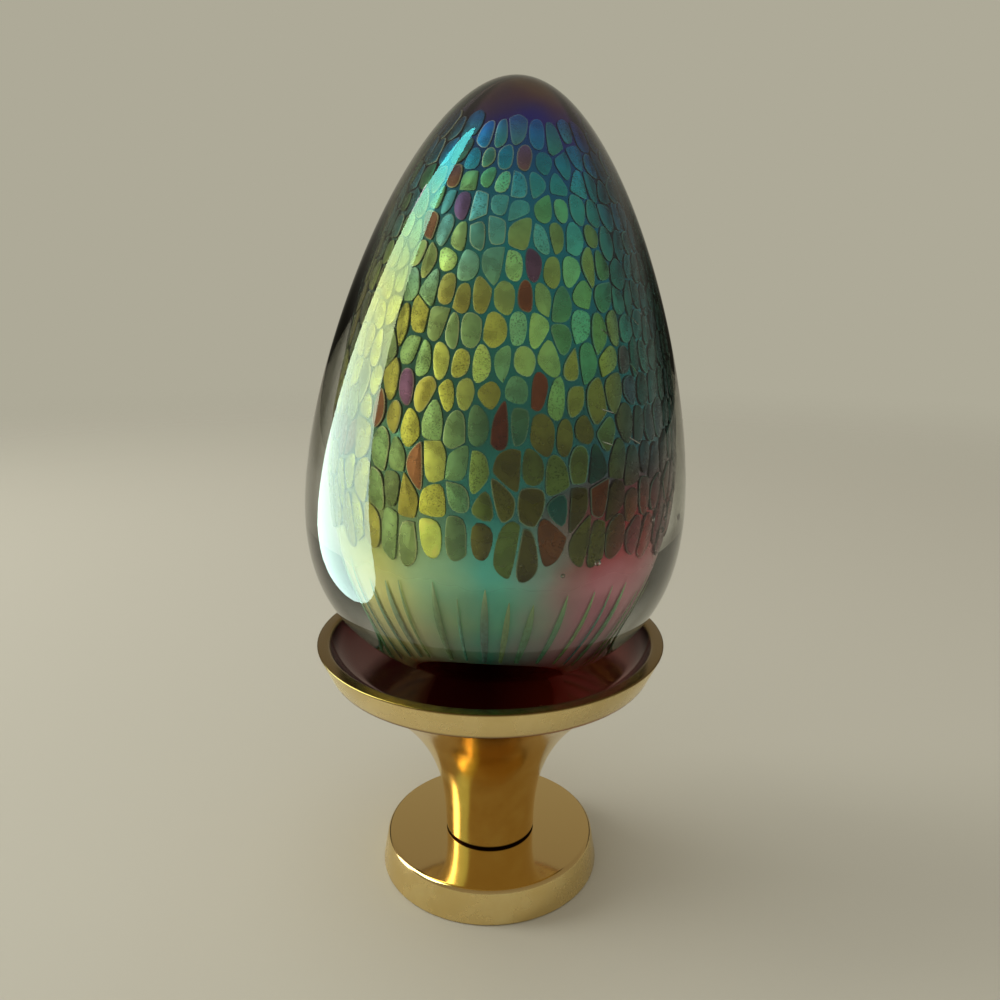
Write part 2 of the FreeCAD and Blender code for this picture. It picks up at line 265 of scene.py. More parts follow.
casing = {
    "outlinePoints": 72,
    "steps": 128,
    "depthTintAndPaintedEdgeReflection": [(0.38, "#f0f3ee"), (0.70, "#4c4d43")],  # from straight in to along the glass: faint tint through its depth, darkened further by a painted dark reflection
    "shadowTint": "#eef2ec",
}


def clearGlass():
    material, tree, shader = startMaterial("Clear cased glass fire polished")
    slant = addNode(tree, "LayerWeight", {"Blend": 0.5}, "Facing")
    # the glass's faint tint in its depth, with a painted dark reflection along its edge
    colour = addNode(tree, "ValToRGB", {"stops": casing["depthTintAndPaintedEdgeReflection"], "Fac": slant})
    setShader(shader, Base_Color=colour, Roughness=0.0, IOR=1.5, Transmission_Weight=1.0)
    letLampsThrough(tree, shader, casing["shadowTint"])
    return material


def makeCasing():
    sizes = (eggSizes["height"] / 2, eggSizes["ellipseWidth"] / 2, 0)
    bm = spun(arcFrom(0, math.pi, casing["outlinePoints"], sizes), casing["steps"])
    piece = makePiece(
        "clear_casing_glass", bm, "egg", clearGlass(), eggPlace, ["clear_casing"]
    )
    smooth = piece.modifiers.new("Smooth", "SUBSURF")
    smooth.render_levels = 1
    print("casing made")


# Lustre skin: silvered glass fumed with metal salts, so it mirrors in bands of colour, pearly at its foot

lustre = {
    "thickness": 0.6, "mouthHeight": 3.1, "outlinePoints": 64, "steps": 128,
    "leftBands": [
        (0.00, "#e8e0ac"), (0.10, "#f2ee94"), (0.20, "#c4cc68"), (0.32, "#5c8058"), (0.55, "#4c8064"),
        (0.70, "#4a8a74"), (0.82, "#2a7a94"), (0.90, "#2c5494"), (0.93, "#443c78"), (0.96, "#64465c"),
        (1.00, "#8a6448"),
    ],
    "frontBands": [
        (0.00, "#58ccc8"), (0.09, "#84ecc4"), (0.18, "#60d0c0"), (0.28, "#2c8484"), (0.50, "#2a8c84"),
        (0.70, "#1aa0a8"), (0.82, "#1084b4"), (0.89, "#1a5cac"), (0.925, "#2c2ca8"), (0.955, "#4c3a80"),
        (0.975, "#6a4460"), (1.00, "#94704e"),
    ],
    "rightBands": [
        (0.00, "#f0c4d4"), (0.10, "#f0a4bc"), (0.20, "#b44854"), (0.28, "#84202a"), (0.38, "#2c6878"),
        (0.55, "#1a8a94"), (0.75, "#0e84ac"), (0.86, "#165ca4"), (0.91, "#34349c"), (0.95, "#643c74"),
        (1.00, "#94704e"),
    ],
    "mirrorFoot": (0.14, 0.27),  # where the pearly foot gives way to the mirror above it
    "Metallic": (0.25, 1.0),  # of pearl and of mirror
    "Roughness": (0.30, 0.09),
    "toFront": (0.08, 0.45),  # the side where one ladder of colours has given way to the next
    "toRight": (0.52, 0.86), "swirlMm": 9,
    "wobbleMm": 8,  # how far the swirl bends the bands
    "waveMm": 5, "waveDepthMm": 0.05,
}


def lustreSkin():
    material, tree, shader = startMaterial("Silvered glass fumed with metal salts")
    place, height, side = heightAndSide(tree, lustre["wobbleMm"])
    finish = {}
    for name in ("Metallic", "Roughness"):
        pearl, mirror = lustre[name]
        finish[name] = addNode(tree, "MapRange", {
            "Value": height, **between(*lustre["mirrorFoot"]), "To Min": pearl, "To Max": mirror
        })
    waves = addNode(tree, "TexNoise", {"Vector": place, "Scale": perMm(lustre["waveMm"])})
    bump = addNode(tree, "Bump", {"Height": waves, "Distance": lustre["waveDepthMm"] * mm, "Strength": 1.0})
    setShader(shader, Base_Color=bandsAround(tree, height, side), Normal=bump, **finish)
    return material


def makeLustre():
    outer = bodySizes()
    inner = bodySizes(-lustre["thickness"])
    mouth = eggSizes["footGlass"] + lustre["mouthHeight"]
    outside = arcFrom(turnAtHeight(mouth, outer), math.pi, lustre["outlinePoints"], outer)
    inside = arcFrom(turnAtHeight(mouth, inner), math.pi, lustre["outlinePoints"], inner)
    bm = spun([*reversed(inside), *outside], lustre["steps"])
    makePiece("lustre_skin", bm, "egg", lustreSkin(), bodyPlace, ["lustre_ground"])
    print("lustre skin made")


# Ruby core: gold ruby glass, hot worked. Deep red, nearly black where it is thick. It is fused into the
# clear glass, so light doesn't bend between them and its index beside that glass is 1.

core = {
    "gap": 0.1, "floorGlass": 0.9, "neckPoints": 6, "outlinePoints": 48, "steps": 96,
    "shadowTint": "#8a0a08", "streakMm": 7, "streaks": [(0.38, "#8c0806"), (0.66, "#e83010")],
}


def rubyGlass():
    material, tree, shader = startMaterial("Gold ruby glass hot worked")
    place = addNode(tree, "TexCoord", output="Object")
    streaks = addNode(tree, "TexNoise", {"Vector": place, "Scale": perMm(core["streakMm"]), "Detail": 3.0})
    colour = addNode(tree, "ValToRGB", {"stops": core["streaks"], "Fac": streaks})
    setShader(shader, Base_Color=colour, Roughness=0.0, IOR=1.0, Transmission_Weight=1.0)
    letLampsThrough(tree, shader, core["shadowTint"])
    return material


def makeCore():
    sizes = bodySizes(-lustre["thickness"] - core["gap"])
    mouth = eggSizes["footGlass"] + lustre["mouthHeight"]
    body = arcFrom(turnAtHeight(mouth, sizes), math.pi, core["outlinePoints"], sizes)
    floor = core["floorGlass"]
    floorSizes = (eggSizes["height"] / 2 - floor, eggSizes["ellipseWidth"] / 2 - floor, floor)
    swell = 1 + eggSizes["lowSwell"] + eggSizes["evenSwell"] + eggSizes["footSwell"]
    edge = math.asin(body[0][0] / floorSizes[1] / swell)
    neck = arcFrom(0, edge, core["neckPoints"], floorSizes)
    bm = spun(neck + body, core["steps"])
    makePiece("ruby_core_glass", bm, "egg", rubyGlass(), bodyPlace, ["ruby_core"], crease=40)
    print("ruby core made")


# Flakes: coloured glass chips laid on the lustre skin in staggered rows and pressed in hot

flakes = {
    "seed": 41, "finishSeed": 7, "footMargin": 22.6, "topMargin": 8.0, "lowWidth": 3.7,
    "lowHeight": 7.4, "topWidth": 2.5, "topHeight": 4.6, "rowOverlap": 0.84, "turnJitter": 0.28,
    "riseJitter": 0.26, "reach": 0.68, "neighbourReach": 2.0, "vein": 0.34, "corners": 8,
    "samples": 600, "gap": 0.10, "thickness": 0.14, "rimWidth": 0.22, "rimRise": 0.08,
    "tilt": 0.03,  # how far a flake's face is tipped, as a slope
    "sizes": (0.90, 1.04),  # of a flake's place
    "rimHighlightStrength": 0.75,
}


def outlineLengths():
    sizes = bodySizes()
    table = [(0.0, 0.0)]
    last = eggPoint(*sizes, 0)
    for i in range(1, flakes["samples"] + 1):
        turn = math.pi * i / flakes["samples"]
        point = eggPoint(*sizes, turn)
        table.append((turn, table[-1][1] + math.dist(last, point)))
        last = point
    return table


def turnAbove(table, height):  # the first sampled turn at or above a height over the body's foot
    sizes = bodySizes()
    level = eggSizes["footGlass"] + height
    return next((turn, run) for turn, run in table if eggPoint(*sizes, turn)[1] >= level)


def turnAtRun(table, run):
    for (turnA, runA), (turnB, runB) in zip(table, table[1:]):
        if runB >= run:
            return turnA + (turnB - turnA) * (run - runA) / (runB - runA)
    return table[-1][0]


def frameAt(turn, azimuth):
    sizes = bodySizes()
    radius, height = eggPoint(*sizes, turn)
    radiusUp, heightUp = eggPoint(*sizes, turn + math.pi / flakes["samples"])
    slope = Vector((radiusUp - radius, heightUp - height)).normalized()
    cosA, sinA = math.cos(azimuth), math.sin(azimuth)
    east = Vector((-sinA, cosA, 0))
    up = Vector((slope.x * cosA, slope.x * sinA, slope.y))
    return Vector((radius * cosA, radius * sinA, height)), east, up, east.cross(up)


def flakeSites(rng):
    table = outlineLengths()
    runLow = turnAbove(table, flakes["footMargin"])[1]
    runHigh = turnAbove(table, 2 * bodySizes()[0] - flakes["topMargin"])[1]
    golden = (math.sqrt(5) - 1) / 2
    sites = []
    run = runLow
    row = 0
    while run < runHigh:
        share = (run - runLow) / (runHigh - runLow)
        width = flakes["lowWidth"] + (flakes["topWidth"] - flakes["lowWidth"]) * share
        height = flakes["lowHeight"] + (flakes["topHeight"] - flakes["lowHeight"]) * share
        radius = eggPoint(*bodySizes(), turnAtRun(table, run))[0]
        count = round(2 * math.pi * radius / width)
        for i in range(count):
            turnJitter = flakes["turnJitter"] * rng.uniform(-1, 1)
            riseJitter = flakes["riseJitter"] * rng.uniform(-1, 1)
            azimuth = 2 * math.pi * (i + row * golden + turnJitter) / count
            turn = turnAtRun(table, run + riseJitter * height)
            sites.append((frameAt(turn, azimuth), width, height, share))
        run += height * flakes["rowOverlap"]
        row += 1
    return sites


def clipped(polygon, direction, distance):
    kept = []
    for a, b in zip(polygon, polygon[1:] + polygon[:1]):
        sideA = a[0] * direction[0] + a[1] * direction[1] - distance
        sideB = b[0] * direction[0] + b[1] * direction[1] - distance
        if sideA <= 0:
            kept.append(a)
        if sideA * sideB < 0:
            t = sideA / (sideA - sideB)
            kept.append((a[0] + (b[0] - a[0]) * t, a[1] + (b[1] - a[1]) * t))
    return kept


# The ground nearer to a flake than to its neighbours, measured in widths and heights
def flakeCell(site, sites):
    (point, east, up, out), width, height, share = site
    cell = []
    for i in range(flakes["corners"]):
        angle = 2 * math.pi * i / flakes["corners"]
        cell.append((width * flakes["reach"] * math.cos(angle), height * flakes["reach"] * math.sin(angle)))
    for other in sites:
        gap = other[0][0] - point
        if gap.length == 0 or gap.length > height * flakes["neighbourReach"]:
            continue
        flat = Vector((gap.dot(east), gap.dot(up)))
        pull = Vector((flat.x / width ** 2, flat.y / height ** 2))
        middle = flat.dot(pull) / pull.length / 2
        cell = clipped(cell, pull.normalized(), middle - flakes["vein"] / 2)
    return cell


def roundedCell(cell):  # each corner bends the line from the middle of one edge to the middle of the next
    line = []
    for before, corner, after in zip(cell[-1:] + cell[:-1], cell, cell[1:] + cell[:1]):
        before, corner, after = Vector(before), Vector(corner), Vector(after)
        for t in (0, 1 / 3, 2 / 3):
            start, end = (before + corner) / 2, (corner + after) / 2
            line.append(start * (1 - t) ** 2 + corner * 2 * t * (1 - t) + end * t ** 2)
    return line


def flakeColour(rng, site):
    out, share = site[0][3], site[3]
    right = (1 + out.x) / 2
    shares = {
        "green_chips": 0.50 - 0.25 * right - 0.15 * share,
        "olive_chips": 0.34 - 0.22 * share,
        "teal_chips": 0.10 + 0.30 * right + 0.40 * share,
        "rust_chips": 0.09 - 0.04 * share,
        "plum_chips": 0.07 - 0.05 * share,
    }
    return rng.choices(list(shares), list(shares.values()))[0]


def onBody(point, out):  # a point beside the coloured body, moved straight in or out to a distance off it
    sizes = bodySizes()
    height = min(max(point.z, sizes[2] + 0.01), sizes[2] + 2 * sizes[0] - 0.01)
    azimuth = math.atan2(point.y, point.x)
    place, east, up, normal = frameAt(turnAtHeight(height, sizes), azimuth)
    return place + normal * out


def addFlake(bm, layers, site, sites, finish):
    tone, rim, tiltA, tiltB, size = finish
    point, east, up, out = site[0]
    start = len(bm.verts)
    line = [place * size for place in roundedCell(flakeCell(site, sites))]
    face = bm.faces.new([bm.verts.new(point + out * flakes["gap"] + east * a + up * b) for a, b in line])
    grown = bmesh.ops.extrude_face_region(bm, geom=[face], use_keep_orig=True)["geom"]
    lifted = [element for element in grown if isinstance(element, bmesh.types.BMVert)]
    top = [element for element in grown if isinstance(element, bmesh.types.BMFace)]
    bmesh.ops.translate(bm, vec=out * flakes["thickness"], verts=lifted)
    top[0].normal_update()
    if top[0].normal.dot(out) < 0:
        bmesh.ops.reverse_faces(bm, faces=top)
    bmesh.ops.inset_individual(
        bm, faces=top, thickness=flakes["rimWidth"], depth=flakes["rimRise"], use_even_offset=True
    )
    edgeTop = flakes["gap"] + flakes["thickness"]
    bm.verts.ensure_lookup_table()
    for vert in bm.verts[start:]:
        offset = vert.co - point
        height = offset.dot(out)
        foot = vert.co - out * height
        vert[layers["tone"]] = tone
        # the painted rim highlight goes on the flake's sides and raised edge
        vert[layers["rim"]] = rim if height < edgeTop + flakes["rimRise"] / 2 else 0.0
        if height > edgeTop / 2:
            height += tiltA * offset.dot(east) + tiltB * offset.dot(up)
        vert.co = onBody(foot, height)


# Every flake glass is silvered from behind and mirrors softly. Its thin edge is painted pale on some flakes,
# a painted highlight that is paler towards -X.

# each glass's low colour is partly its own darker tone and partly a painted dark reflection
flakeGlasses = {
    "green_chips": {
        "name": "Yellow green flake glass pressed in hot", "slot": "green_glass",
        "left": "#e4ea66", "right": "#8ce894", "top": "#50d8a8", "low": "#566c34",
    },
    "olive_chips": {
        "name": "Olive flake glass pressed in hot", "slot": "olive_glass",
        "left": "#ccc450", "right": "#a8c860", "top": "#60c088", "low": "#545626",
    },
    "teal_chips": {
        "name": "Teal flake glass pressed in hot", "slot": "teal_glass",
        "left": "#9fbe6e", "right": "#64d49a", "top": "#1ab8d0", "low": "#18524c",
    },
    "rust_chips": {
        "name": "Rust brown flake glass pressed in hot", "slot": "rust_glass",
        "left": "#a06a3a", "right": "#84482c", "top": "#8a6a4c", "low": "#60341e",
    },
    "plum_chips": {
        "name": "Plum flake glass pressed in hot", "slot": "plum_glass",
        "left": "#a8748c", "right": "#6a4458", "top": "#5c5890", "low": "#40283a",
    },
}
flakeFinish = {
    "leftRimHighlight": "#e2e2a4",
    "rightRimHighlight": "#7cc4b4",
    "crownColour": "#1c40b4",  # fumed indigo over the topmost flakes
    # where each colour begins, where it is full and how strong it gets, by height or by side
    "across": (0.22, 0.78, 1.0),
    "high": (0.60, 0.86, 1.0),
    # low colours below the middle and away from -X: partly the glasses' own darker tone, partly a painted
    # dark reflection
    "low": (0.56, 0.38, 1.0),
    "inFront": (0.28, 0.46, 1.0),
    "crown": (0.82, 0.93, 0.82),
    "bare": (0.84, 0.95, 0.85),  # towards the right the flakes melt into the skin and take its colour
    "wobbleMm": 2,
    "tones": (0.62, 1.26),  # darkest and palest flake
    "hues": (0.485, 0.515),
    "cloudMm": 2.4,
    "clouds": (0.8, 1.15),
    "speckMm": 0.28,
    "specks": (0.56, 0.62),
    "speckDepth": 0.45,
    "speckled": (0.74, 0.80),  # tones from which a flake has specks
    # painted light and shade round the body: a flake is made brighter where it faces partly towards -X,
    # darker where it faces straight to -X and towards +X
    "paintedLightBySide": [(0.0, 0.42), (0.10, 0.72), (0.24, 1.15), (0.80, 1.0), (0.92, 0.8), (1.0, 0.6)],
    "roughness": (0.22, 0.34),
}


def flakeGlass(look):
    material, tree, shader = startMaterial(look["name"])
    place, height, side = heightAndSide(tree, flakeFinish["wobbleMm"])
    share = {}
    for name, along in (
        ("across", side), ("high", height), ("low", height), ("inFront", side), ("crown", height),
        ("bare", side),
    ):
        *reach, most = flakeFinish[name]
        share[name] = addNode(tree, "MapRange", {"Value": along, **between(*reach), "To Max": most})
    # darker low down and away from -X: partly own darker tone, partly painted dark reflection
    lowToneAndDarkReflection = addNode(tree, "Math", {"operation": "MULTIPLY", 0: share["low"], 1: share["inFront"]})
    colour = srgb(look["left"])
    for factor, other in (
        (share["across"], srgb(look["right"])), (share["high"], srgb(look["top"])), (lowToneAndDarkReflection, srgb(look["low"])),
        (share["crown"], srgb(flakeFinish["crownColour"])), (share["bare"], bandsAround(tree, height, side)),
    ):
        colour = addNode(tree, "Mix", {"data_type": "RGBA", "Factor": factor, "A": colour, "B": other})
    tone = addNode(tree, "Attribute", {"attribute_name": "tone"}, "Fac")
    darkest, palest = flakeFinish["tones"]
    value = addNode(tree, "MapRange", {"Value": tone, "To Min": darkest, "To Max": palest})
    cloud = addNode(tree, "TexNoise", {"Vector": place, "Scale": perMm(flakeFinish["cloudMm"])})
    clouded, rough = [
        addNode(tree, "MapRange", {"Value": cloud, **noiseReach, "To Min": low, "To Max": high})
        for low, high in (flakeFinish["clouds"], flakeFinish["roughness"])
    ]
    # fine dark specks, in the palest flakes only
    specks = addNode(tree, "TexNoise", {"Vector": place, "Scale": perMm(flakeFinish["speckMm"])})
    speckled = addNode(tree, "MapRange", {
        "Value": specks, **between(*flakeFinish["specks"]), "To Max": flakeFinish["speckDepth"]
    })
    paleOnly = addNode(tree, "MapRange", {"Value": tone, **between(*flakeFinish["speckled"])})
    dimmed = addNode(tree, "Math", {"operation": "MULTIPLY", 0: speckled, 1: paleOnly})
    clean = addNode(tree, "Math", {"operation": "SUBTRACT", 0: 1.0, 1: dimmed})
    # painted light and shade by side, multiplied into each flake's brightness
    stops = [(p, (v, v, v, 1)) for p, v in flakeFinish["paintedLightBySide"]]
    paintedLightBySide = addNode(tree, "ValToRGB", {"stops": stops, "Fac": side})
    for factor in (clouded, clean, paintedLightBySide):
        value = addNode(tree, "Math", {"operation": "MULTIPLY", 0: value, 1: factor})
    hueLow, hueHigh = flakeFinish["hues"]
    hue = addNode(tree, "MapRange", {"Value": tone, "To Min": hueLow, "To Max": hueHigh})
    toned = addNode(tree, "HueSaturation", {"Color": colour, "Value": value, "Hue": hue})
    # painted highlight along the flake's edge, pale cream towards -X and teal towards +X
    rimHighlightColour = addNode(tree, "Mix", {
        "data_type": "RGBA", "Factor": share["across"], "A": srgb(flakeFinish["leftRimHighlight"]),
        "B": srgb(flakeFinish["rightRimHighlight"]),
    })
    rim = addNode(tree, "Attribute", {"attribute_name": "rim"}, "Fac")
    final = addNode(tree, "Mix", {"data_type": "RGBA", "Factor": rim, "A": toned, "B": rimHighlightColour})
    setShader(shader, Base_Color=final, Roughness=rough, Metallic=0.85)
    return material


def makeFlakes():
    rng = random.Random(flakes["seed"])
    sites = flakeSites(rng)
    groups = {}
    for site in sites:
        groups.setdefault(flakeColour(rng, site), []).append(site)
    rng = random.Random(flakes["finishSeed"])
    for node, members in sorted(groups.items()):
        bm = bmesh.new()
        layers = {name: bm.verts.layers.float.new(name) for name in ("tone", "rim")}
        for site in members:
            tilts = [flakes["tilt"] * rng.uniform(-1, 1) for _ in range(2)]
            smallest, largest = flakes["sizes"]
            size = largest - (largest - smallest) * rng.random() ** 2
            tone = rng.random()
            # how strongly this flake's edge is painted with a highlight
            rimHighlight = rng.uniform(0.0, flakes["rimHighlightStrength"]) ** 1.5
            addFlake(bm, layers, site, sites, (tone, rimHighlight, *tilts, size))
        bmesh.ops.recalc_face_normals(bm, faces=bm.faces)
        look = flakeGlasses[node]
        makePiece(node + "_glass", bm, "egg", flakeGlass(look), bodyPlace, [node], crease=60)
        print(node, len(members), "flakes")


# Drawn threads: thin trails of coloured glass pulled down to the foot while hot, glossy and faintly streaked

threads = {
    "count": 30, "seed": 41, "finishSeed": 7, "footMargin": 0.5, "length": 11.8,
    "lengthSpread": 3.2, "turn": 3.4, "turnSpread": 2.0, "turnJitter": 0.28, "gap": 0.1,
    "thickness": 0.22,
    "footShare": 0.5,  # a thread's width at its foot
    "tip": 0.06,
    "tipShare": 0.3,  # its thickness at the tip
    "sections": 12, "sides": 8, "colours": ["#52b8a4", "#8cc890", "#b4b866", "#4aa0b4", "#8cac70"],
    "tipColour": "#a8c890",  # a thread thins out to the skin's own colour
    "streakMm": 0.5,
    "stretch": (1, 1, 0.15),  # the streaks run up the threads
    "darkest": 0.75, "palest": 1.15,
}


def threadGlass():
    material, tree, shader = startMaterial("Drawn thread glass hot pulled")
    tone = addNode(tree, "Attribute", {"attribute_name": "tone"}, "Fac")
    last = len(threads["colours"]) - 1
    stops = [(i / last, colour) for i, colour in enumerate(threads["colours"])]
    colour = addNode(tree, "ValToRGB", {"stops": stops, "Fac": tone})
    place = addNode(tree, "TexCoord", output="Object")
    stretched = addNode(tree, "Mapping", {"Vector": place, "Scale": threads["stretch"]})
    streaks = addNode(tree, "TexNoise", {"Vector": stretched, "Scale": perMm(threads["streakMm"])})
    value = addNode(tree, "MapRange", {
        "Value": streaks, **noiseReach, "To Min": threads["darkest"], "To Max": threads["palest"]
    })
    streaked = addNode(tree, "HueSaturation", {"Color": colour, "Value": value})
    tip = addNode(tree, "Attribute", {"attribute_name": "tip"}, "Fac")
    faded = addNode(tree, "Mix", {
        "data_type": "RGBA", "Factor": tip, "A": streaked, "B": srgb(threads["tipColour"])
    })
    setShader(shader, Base_Color=faded, Metallic=0.1, Roughness=0.18)
    return material


def addThread(bm, layers, top, azimuth, width, tone):
    sizes = bodySizes()
    turnLow = turnAtHeight(eggSizes["footGlass"] + lustre["mouthHeight"] + threads["footMargin"], sizes)
    turnHigh = turnAtHeight(eggSizes["footGlass"] + top, sizes)
    start = len(bm.verts)
    middle = threads["gap"] + threads["thickness"] / 2
    rings = [bmesh.ops.create_circle(bm, cap_ends=True, radius=1, segments=threads["sides"])["verts"]]
    for i in range(threads["sections"]):
        last = rings[-1]
        edges = [bm.edges.get((a, b)) for a, b in zip(last, last[1:] + last[:1])]
        grown = set(bmesh.ops.extrude_edge_only(bm, edges=edges)["geom"])
        rings.append([
            next(edge.other_vert(vert) for edge in vert.link_edges if edge.other_vert(vert) in grown)
            for vert in last
        ])
    bm.faces.new(rings[-1])
    for i, members in enumerate(rings):
        share = i / threads["sections"]
        turn = turnLow + (turnHigh - turnLow) * share
        place, east, up, out = frameAt(turn, math.radians(azimuth))
        swell = (1 - share ** 2) * (threads["footShare"] + share)  # widest halfway, pointed at its tip
        half = eggPoint(*sizes, turn)[0] * math.radians(width) / 2 * swell + threads["tip"]
        for k, vert in enumerate(members):
            angle = 2 * math.pi * k / threads["sides"]
            thick = threads["thickness"] / 2 * min(1, 1 + threads["tipShare"] - share)
            vert.co = place + east * half * math.cos(angle) + out * (middle + thick * math.sin(angle))
            vert[layers["tip"]] = share ** 2
    bm.verts.ensure_lookup_table()
    for vert in bm.verts[start:]:
        vert[layers["tone"]] = tone


def makeThreads():
    rng = random.Random(threads["seed"])
    toneRng = random.Random(threads["finishSeed"])
    bm = bmesh.new()
    layers = {name: bm.verts.layers.float.new(name) for name in ("tone", "tip")}
    for i in range(threads["count"]):
        length = threads["length"] - threads["lengthSpread"] * rng.random()
        top = lustre["mouthHeight"] + threads["footMargin"] + length
        width = threads["turn"] + threads["turnSpread"] * rng.uniform(-1, 1)
        azimuth = 360 * (i + threads["turnJitter"] * rng.uniform(-1, 1)) / threads["count"]
        addThread(bm, layers, top, azimuth, width, toneRng.random())
    bmesh.ops.recalc_face_normals(bm, faces=bm.faces)
    makePiece(
        "drawn_threads_glass", bm, "egg", threadGlass(), bodyPlace, ["drawn_threads"],
        crease=60,
    )
    print("threads made")


# Seeds: air caught in the clear glass while it was hot, as round bubbles and as slivers drawn out thin

seeds = {
    "seed": 11, "bubbles": 10, "bubbleRadii": (0.35, 0.75), "bubbleHeights": (17, 34), "slivers": 9,
    "sliverLengths": (1.6, 4.2), "sliverThickness": 0.12, "sliverHeights": (36, 62),
    "sliverTilt": 0.5,
    "depths": (3.0, 8.5),  # off the coloured body
    "azimuths": (-70, 0),  # degrees, 0 faces +X and -90 the front
}


def airFilm():
    # a thin film of air mirrors all that meets it at a slant, so it looks silvery
    material, tree, shader = startMaterial("Air film drawn thin in glass")
    setShader(shader, Base_Color=srgb("#eef4f0"), Metallic=1.0, Roughness=0.2)
    return material


def airInGlass():
    # a round bubble bends light the other way, so it shows as a bright bead in a dark ring
    material, tree, shader = startMaterial("Air trapped in clear glass")
    setShader(shader, Roughness=0.0, IOR=1 / 1.5, Transmission_Weight=1.0)
    letLampsThrough(tree, shader, "#ffffff")
    return material


def makeSeeds():
    rng = random.Random(seeds["seed"])
    bm = bmesh.new()

    def place(heights):
        sizes = bodySizes()
        turn = turnAtHeight(eggSizes["footGlass"] + rng.uniform(*heights), sizes)
        point, east, up, out = frameAt(turn, math.radians(rng.uniform(*seeds["azimuths"])))
        return Matrix.Translation(point + out * rng.uniform(*seeds["depths"]))

    for i in range(seeds["bubbles"]):
        spot = place(seeds["bubbleHeights"])
        bmesh.ops.create_icosphere(bm, subdivisions=3, radius=rng.uniform(*seeds["bubbleRadii"]), matrix=spot)
    makePiece("seed_bubbles", bm, "egg", airInGlass(), bodyPlace, crease=80)
    bm = bmesh.new()
    for i in range(seeds["slivers"]):
        spot = place(seeds["sliverHeights"])
        tilt, thin = seeds["sliverTilt"], seeds["sliverThickness"]
        turned = Matrix.Rotation(rng.uniform(0, math.pi), 4, "Z")
        turned = turned @ Matrix.Rotation(rng.uniform(-tilt, tilt), 4, "Y")
        shape = Matrix.Diagonal((rng.uniform(*seeds["sliverLengths"]) / 2, thin, thin, 1))
        bmesh.ops.create_icosphere(bm, subdivisions=2, radius=1, matrix=spot @ turned @ shape)
    makePiece("seed_slivers", bm, "egg", airFilm(), bodyPlace, crease=80)
    print("seeds made")


# Stand

stand = {
    "baseFootRadius": 23.03, "baseTopRadius": 21.84, "baseHeight": 7.05, "baseTopRound": 0.8,
    "baseFootRound": 0.5, "recessRadius": 5.8, "recessDepth": 4.4, "hole": 2.8,
    "stemHeight": 38.67, "stemFootRadius": 9.40, "stemMouthRadius": 31.38, "stemFootEdge": 0.45,
    "earlyFlare": 0.036, "flarePower": 2.62, "flarePoints": 56, "socketRadius": 19.05,
    "socketDepth": 3.45, "bossHole": 7.3, "bossDepth": 12.45,
    "dishWallHeight": 5.97, "rimRadius": 35.0, "rimWidth": 2.35, "dishLowerRadius": 32.18,
    "rimRound": 0.35, "lowerRound": 0.3, "floorSink": 0.10, "floorCurve": 140.0,
    "floorEdgeRadius": 27.5, "wallBow": 0.1155, "wallPoints": 12, "floorPoints": 24,
    "spigotRadius": 19.0, "spigotDepth": 3.2, "bossRadius": 7.0, "bossLength": 9.0, "tapRadius": 2.53,
    "tapDepth": 8.5, "steps": 192,
}


# Brass finishes. A zone is a part of the piece with a colour and roughness of its own: it begins at a height
# or radius in millimetres and is full within a fade. Polished brass mirrors warm and clear, satin brass is
# softer and faintly ringed. The dark zone round the stem's foot is painted shade along its seam with the
# base. The hollow's red,
# in patches along X, is painted light: the ruby glass mirrored in the brass and the red light it casts there.

brassFinish = {
    "base": {
        "name": "Cast brass turned and polished",
        "colours": [(0.3, "#e2c886"), (0.5, "#e8cf90"), (0.7, "#ecd698")], "roughness": 0.26,
        "marksMm": 0.35, "marksDepthMm": 0.0035,
        "zones": [{"along": "Z", "start": 6.3, "fade": 0.5, "colour": "#d4b476", "roughness": 0.09}],
    },
    "stem": {
        "name": "Turned brass highly polished",
        "colours": [(0.3, "#e6c678"), (0.5, "#eccf84"), (0.7, "#f0d890")], "roughness": 0.19,
        "marksMm": 0.8, "marksDepthMm": 0.004,
        # painted shade: a dark band round the stem's foot, along its seam with the base
        "zones": [{"along": "Z", "start": 7.8, "fade": -0.3, "colour": "#281604", "roughness": 0.5}],
    },
    "dish": {
        "name": "Turned brass satin wall and hollow with painted ruby light",
        "colours": [(0.3, "#e4cc8c"), (0.5, "#ead294"), (0.7, "#eed89c")], "roughness": 0.26,
        "marksMm": 0.35, "marksDepthMm": 0.004,
        "zones": [
            {"along": "Z", "start": 51.25, "fade": 0.3, "colour": "#7d6334", "roughness": 0.2},
            # painted light: the hollow's dark and orange-red patches along X stand for the ruby glass
            # mirrored in the brass and its red light
            {
                "along": "radius", "start": 32.55, "fade": -0.3, "roughness": 0.10, "metallic": 0.85,
                "across": [
                    (-32, "#440604"), (-20, "#580a05"), (0, "#4a0704"), (16, "#9c2c0e"), (23, "#7c1c08"),
                    (30, "#3c0604"),
                ],
            },
        ],
    },
}
tarnish = {
    "cloudMm": 6, "clouds": (0.35, 0.65),
    "spread": (0.85, 1.2),  # of the roughness
    "spotMm": 4.5,
    "spotRadius": 0.06,  # of the distance between two spots
    "spotShare": 0.78,  # of the places that stay clean
    "colour": "#5a4018", "roughness": 0.5,
}


